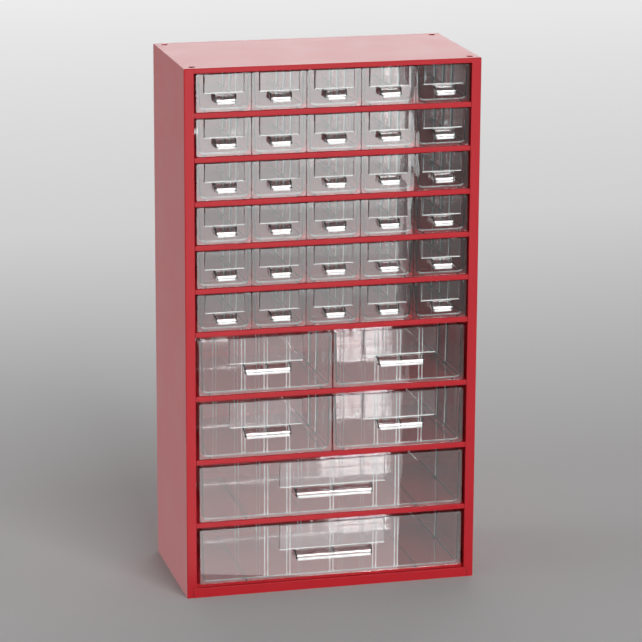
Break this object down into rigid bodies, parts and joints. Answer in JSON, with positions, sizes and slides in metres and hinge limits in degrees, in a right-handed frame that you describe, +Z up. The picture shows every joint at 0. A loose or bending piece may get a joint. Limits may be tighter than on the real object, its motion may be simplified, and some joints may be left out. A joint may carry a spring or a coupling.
{
  "type": "parts cabinet",
  "caption": "Upright steel cabinet of clear drawers in three widths, for small parts.",
  "frame": {"origin": "on the surface that the cabinet stands on, in the middle of the whole object's width and depth, drawer grips included", "axes": "+Z up, along the cabinet's height; the drawers open towards -Y; +X is the cabinet's width, to the right as seen from the front"},
  "size_m": [0.306, 0.167, 0.551],
  "materials": {
    "casing_red": "red stove enamel, satin, with a fine texture",
    "shelf_red": "red stove enamel, satin",
    "drawer_clear": "clear moulded styrene, glossy"
  },
  "bodies": {
    "casing": {"casing_wrap": "casing_red", "bottom_pan": "casing_red", "back_panel": "casing_red", "shelf_1": "shelf_red", "shelf_2": "shelf_red", "shelf_3": "shelf_red", "shelf_4": "shelf_red", "shelf_5": "shelf_red", "shelf_6": "shelf_red", "shelf_7": "shelf_red", "shelf_8": "shelf_red", "shelf_9": "shelf_red"},
    "small_drawer_r1c1": {"small_drawer_r1c1": "drawer_clear"},
    "small_drawer_r1c2": {"small_drawer_r1c2": "drawer_clear"},
    "small_drawer_r1c3": {"small_drawer_r1c3": "drawer_clear"},
    "small_drawer_r1c4": {"small_drawer_r1c4": "drawer_clear"},
    "small_drawer_r1c5": {"small_drawer_r1c5": "drawer_clear"},
    "small_drawer_r2c1": {"small_drawer_r2c1": "drawer_clear"},
    "small_drawer_r2c2": {"small_drawer_r2c2": "drawer_clear"},
    "small_drawer_r2c3": {"small_drawer_r2c3": "drawer_clear"},
    "small_drawer_r2c4": {"small_drawer_r2c4": "drawer_clear"},
    "small_drawer_r2c5": {"small_drawer_r2c5": "drawer_clear"},
    "small_drawer_r3c1": {"small_drawer_r3c1": "drawer_clear"},
    "small_drawer_r3c2": {"small_drawer_r3c2": "drawer_clear"},
    "small_drawer_r3c3": {"small_drawer_r3c3": "drawer_clear"},
    "small_drawer_r3c4": {"small_drawer_r3c4": "drawer_clear"},
    "small_drawer_r3c5": {"small_drawer_r3c5": "drawer_clear"},
    "small_drawer_r4c1": {"small_drawer_r4c1": "drawer_clear"},
    "small_drawer_r4c2": {"small_drawer_r4c2": "drawer_clear"},
    "small_drawer_r4c3": {"small_drawer_r4c3": "drawer_clear"},
    "small_drawer_r4c4": {"small_drawer_r4c4": "drawer_clear"},
    "small_drawer_r4c5": {"small_drawer_r4c5": "drawer_clear"},
    "small_drawer_r5c1": {"small_drawer_r5c1": "drawer_clear"},
    "small_drawer_r5c2": {"small_drawer_r5c2": "drawer_clear"},
    "small_drawer_r5c3": {"small_drawer_r5c3": "drawer_clear"},
    "small_drawer_r5c4": {"small_drawer_r5c4": "drawer_clear"},
    "small_drawer_r5c5": {"small_drawer_r5c5": "drawer_clear"},
    "small_drawer_r6c1": {"small_drawer_r6c1": "drawer_clear"},
    "small_drawer_r6c2": {"small_drawer_r6c2": "drawer_clear"},
    "small_drawer_r6c3": {"small_drawer_r6c3": "drawer_clear"},
    "small_drawer_r6c4": {"small_drawer_r6c4": "drawer_clear"},
    "small_drawer_r6c5": {"small_drawer_r6c5": "drawer_clear"},
    "medium_drawer_r7c1": {"medium_drawer_r7c1": "drawer_clear"},
    "medium_drawer_r7c2": {"medium_drawer_r7c2": "drawer_clear"},
    "medium_drawer_r8c1": {"medium_drawer_r8c1": "drawer_clear"},
    "medium_drawer_r8c2": {"medium_drawer_r8c2": "drawer_clear"},
    "large_drawer_r9c1": {"large_drawer_r9c1": "drawer_clear"},
    "large_drawer_r10c1": {"large_drawer_r10c1": "drawer_clear"}
  },
  "joints": [
    {"name": "small_drawer_r1c1_slide", "type": "slide", "parent": "casing", "child": "small_drawer_r1c1", "axis": [0, -1, 0], "range_m": [0, 0.135]},
    {"name": "small_drawer_r1c2_slide", "type": "slide", "parent": "casing", "child": "small_drawer_r1c2", "axis": [0, -1, 0], "range_m": [0, 0.135]},
    {"name": "small_drawer_r1c3_slide", "type": "slide", "parent": "casing", "child": "small_drawer_r1c3", "axis": [0, -1, 0], "range_m": [0, 0.135]},
    {"name": "small_drawer_r1c4_slide", "type": "slide", "parent": "casing", "child": "small_drawer_r1c4", "axis": [0, -1, 0], "range_m": [0, 0.135]},
    {"name": "small_drawer_r1c5_slide", "type": "slide", "parent": "casing", "child": "small_drawer_r1c5", "axis": [0, -1, 0], "range_m": [0, 0.135]},
    {"name": "small_drawer_r2c1_slide", "type": "slide", "parent": "casing", "child": "small_drawer_r2c1", "axis": [0, -1, 0], "range_m": [0, 0.135]},
    {"name": "small_drawer_r2c2_slide", "type": "slide", "parent": "casing", "child": "small_drawer_r2c2", "axis": [0, -1, 0], "range_m": [0, 0.135]},
    {"name": "small_drawer_r2c3_slide", "type": "slide", "parent": "casing", "child": "small_drawer_r2c3", "axis": [0, -1, 0], "range_m": [0, 0.135]},
    {"name": "small_drawer_r2c4_slide", "type": "slide", "parent": "casing", "child": "small_drawer_r2c4", "axis": [0, -1, 0], "range_m": [0, 0.135]},
    {"name": "small_drawer_r2c5_slide", "type": "slide", "parent": "casing", "child": "small_drawer_r2c5", "axis": [0, -1, 0], "range_m": [0, 0.135]},
    {"name": "small_drawer_r3c1_slide", "type": "slide", "parent": "casing", "child": "small_drawer_r3c1", "axis": [0, -1, 0], "range_m": [0, 0.135]},
    {"name": "small_drawer_r3c2_slide", "type": "slide", "parent": "casing", "child": "small_drawer_r3c2", "axis": [0, -1, 0], "range_m": [0, 0.135]},
    {"name": "small_drawer_r3c3_slide", "type": "slide", "parent": "casing", "child": "small_drawer_r3c3", "axis": [0, -1, 0], "range_m": [0, 0.135]},
    {"name": "small_drawer_r3c4_slide", "type": "slide", "parent": "casing", "child": "small_drawer_r3c4", "axis": [0, -1, 0], "range_m": [0, 0.135]},
    {"name": "small_drawer_r3c5_slide", "type": "slide", "parent": "casing", "child": "small_drawer_r3c5", "axis": [0, -1, 0], "range_m": [0, 0.135]},
    {"name": "small_drawer_r4c1_slide", "type": "slide", "parent": "casing", "child": "small_drawer_r4c1", "axis": [0, -1, 0], "range_m": [0, 0.135]},
    {"name": "small_drawer_r4c2_slide", "type": "slide", "parent": "casing", "child": "small_drawer_r4c2", "axis": [0, -1, 0], "range_m": [0, 0.135]},
    {"name": "small_drawer_r4c3_slide", "type": "slide", "parent": "casing", "child": "small_drawer_r4c3", "axis": [0, -1, 0], "range_m": [0, 0.135]},
    {"name": "small_drawer_r4c4_slide", "type": "slide", "parent": "casing", "child": "small_drawer_r4c4", "axis": [0, -1, 0], "range_m": [0, 0.135]},
    {"name": "small_drawer_r4c5_slide", "type": "slide", "parent": "casing", "child": "small_drawer_r4c5", "axis": [0, -1, 0], "range_m": [0, 0.135]},
    {"name": "small_drawer_r5c1_slide", "type": "slide", "parent": "casing", "child": "small_drawer_r5c1", "axis": [0, -1, 0], "range_m": [0, 0.135]},
    {"name": "small_drawer_r5c2_slide", "type": "slide", "parent": "casing", "child": "small_drawer_r5c2", "axis": [0, -1, 0], "range_m": [0, 0.135]},
    {"name": "small_drawer_r5c3_slide", "type": "slide", "parent": "casing", "child": "small_drawer_r5c3", "axis": [0, -1, 0], "range_m": [0, 0.135]},
    {"name": "small_drawer_r5c4_slide", "type": "slide", "parent": "casing", "child": "small_drawer_r5c4", "axis": [0, -1, 0], "range_m": [0, 0.135]},
    {"name": "small_drawer_r5c5_slide", "type": "slide", "parent": "casing", "child": "small_drawer_r5c5", "axis": [0, -1, 0], "range_m": [0, 0.135]},
    {"name": "small_drawer_r6c1_slide", "type": "slide", "parent": "casing", "child": "small_drawer_r6c1", "axis": [0, -1, 0], "range_m": [0, 0.135]},
    {"name": "small_drawer_r6c2_slide", "type": "slide", "parent": "casing", "child": "small_drawer_r6c2", "axis": [0, -1, 0], "range_m": [0, 0.135]},
    {"name": "small_drawer_r6c3_slide", "type": "slide", "parent": "casing", "child": "small_drawer_r6c3", "axis": [0, -1, 0], "range_m": [0, 0.135]},
    {"name": "small_drawer_r6c4_slide", "type": "slide", "parent": "casing", "child": "small_drawer_r6c4", "axis": [0, -1, 0], "range_m": [0, 0.135]},
    {"name": "small_drawer_r6c5_slide", "type": "slide", "parent": "casing", "child": "small_drawer_r6c5", "axis": [0, -1, 0], "range_m": [0, 0.135]},
    {"name": "medium_drawer_r7c1_slide", "type": "slide", "parent": "casing", "child": "medium_drawer_r7c1", "axis": [0, -1, 0], "range_m": [0, 0.135]},
    {"name": "medium_drawer_r7c2_slide", "type": "slide", "parent": "casing", "child": "medium_drawer_r7c2", "axis": [0, -1, 0], "range_m": [0, 0.135]},
    {"name": "medium_drawer_r8c1_slide", "type": "slide", "parent": "casing", "child": "medium_drawer_r8c1", "axis": [0, -1, 0], "range_m": [0, 0.135]},
    {"name": "medium_drawer_r8c2_slide", "type": "slide", "parent": "casing", "child": "medium_drawer_r8c2", "axis": [0, -1, 0], "range_m": [0, 0.135]},
    {"name": "large_drawer_r9c1_slide", "type": "slide", "parent": "casing", "child": "large_drawer_r9c1", "axis": [0, -1, 0], "range_m": [0, 0.135]},
    {"name": "large_drawer_r10c1_slide", "type": "slide", "parent": "casing", "child": "large_drawer_r10c1", "axis": [0, -1, 0], "range_m": [0, 0.135]}
  ]
}
